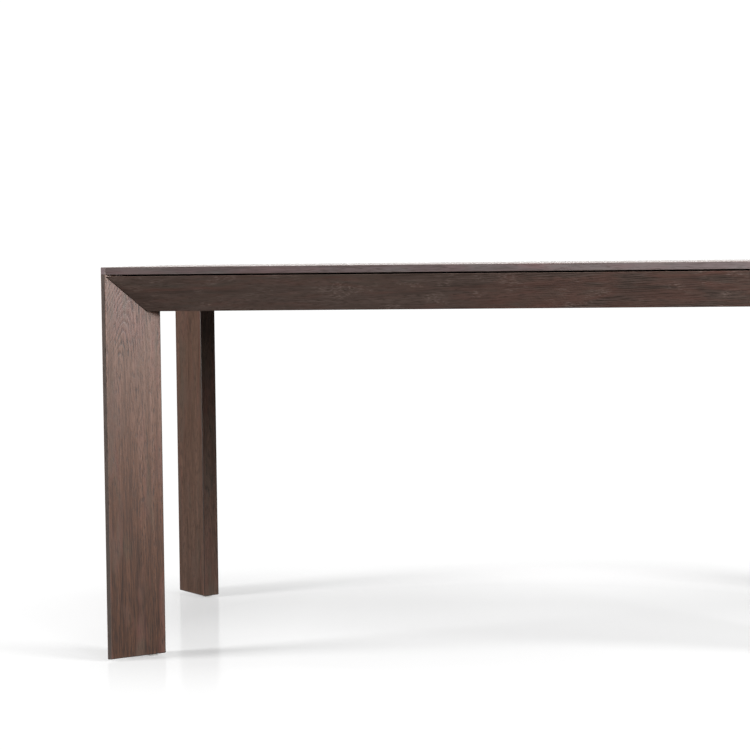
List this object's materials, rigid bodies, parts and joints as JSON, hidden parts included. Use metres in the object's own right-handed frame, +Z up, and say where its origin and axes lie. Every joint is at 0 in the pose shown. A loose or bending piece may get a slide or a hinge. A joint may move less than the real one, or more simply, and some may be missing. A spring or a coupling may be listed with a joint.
{
  "type": "dining table",
  "caption": "Fixed dining table with wedge legs set on the diagonals, raked rails mitred to them, a thin top over a shadow gap, and levelling feet.",
  "frame": {"origin": "on the floor, under the centre of the tabletop", "axes": "+X along the table's length to the right, +Y to the back, +Z up; the front long side is at -Y"},
  "size_m": [1.6, 0.85, 0.75],
  "materials": {
    "oak_veneer_top": "dark brown stained oak veneer, brushed, matt lacquer",
    "oak_lipping": "solid oak edge strip, dark stained, matt lacquer",
    "stained_oak_leg": "solid oak, dark stained, brushed open grain, matt lacquer",
    "stained_oak_rail": "solid oak, dark stained, brushed open grain, matt lacquer",
    "black_spacer": "black stained strip",
    "batten_wood": "planed hardwood, dark stained, unlacquered",
    "bracket_steel": "pressed steel, black powder coat",
    "zinc_steel": "bright zinc plate",
    "foot_plastic": "light grey moulded nylon"
  },
  "bodies": {
    "table": {"tabletop_panel": "oak_veneer_top", "front_lipping": "oak_lipping", "back_lipping": "oak_lipping", "left_lipping": "oak_lipping", "right_lipping": "oak_lipping", "front_left_leg": "stained_oak_leg", "front_right_leg": "stained_oak_leg", "back_right_leg": "stained_oak_leg", "back_left_leg": "stained_oak_leg", "front_rail": "stained_oak_rail", "right_rail": "stained_oak_rail", "back_rail": "stained_oak_rail", "left_rail": "stained_oak_rail", "front_spacer_strip": "black_spacer", "right_spacer_strip": "black_spacer", "back_spacer_strip": "black_spacer", "left_spacer_strip": "black_spacer", "left_cross_batten": "batten_wood", "centre_cross_batten": "batten_wood", "right_cross_batten": "batten_wood", "front_left_corner_bracket": "bracket_steel", "front_right_corner_bracket": "bracket_steel", "back_right_corner_bracket": "bracket_steel", "back_left_corner_bracket": "bracket_steel", "tabletop_clips": "bracket_steel", "hanger_bolts": "zinc_steel", "hanger_bolt_washers": "zinc_steel", "hanger_bolt_nuts": "zinc_steel", "corner_bracket_screws": "zinc_steel", "clip_rail_screws": "zinc_steel", "clip_top_screws": "zinc_steel", "batten_screws": "zinc_steel", "foot_inserts": "zinc_steel"},
    "front_left_foot": {"front_left_foot_pad": "foot_plastic", "front_left_foot_stud": "zinc_steel"},
    "front_right_foot": {"front_right_foot_pad": "foot_plastic", "front_right_foot_stud": "zinc_steel"},
    "back_right_foot": {"back_right_foot_pad": "foot_plastic", "back_right_foot_stud": "zinc_steel"},
    "back_left_foot": {"back_left_foot_pad": "foot_plastic", "back_left_foot_stud": "zinc_steel"}
  },
  "joints": [
    {"name": "front_left_foot_levelling", "type": "slide", "parent": "table", "child": "front_left_foot", "axis": [0, 0, -1], "range_m": [0, 0.008]},
    {"name": "front_right_foot_levelling", "type": "slide", "parent": "table", "child": "front_right_foot", "axis": [0, 0, -1], "range_m": [0, 0.008]},
    {"name": "back_right_foot_levelling", "type": "slide", "parent": "table", "child": "back_right_foot", "axis": [0, 0, -1], "range_m": [0, 0.008]},
    {"name": "back_left_foot_levelling", "type": "slide", "parent": "table", "child": "back_left_foot", "axis": [0, 0, -1], "range_m": [0, 0.008]}
  ]
}
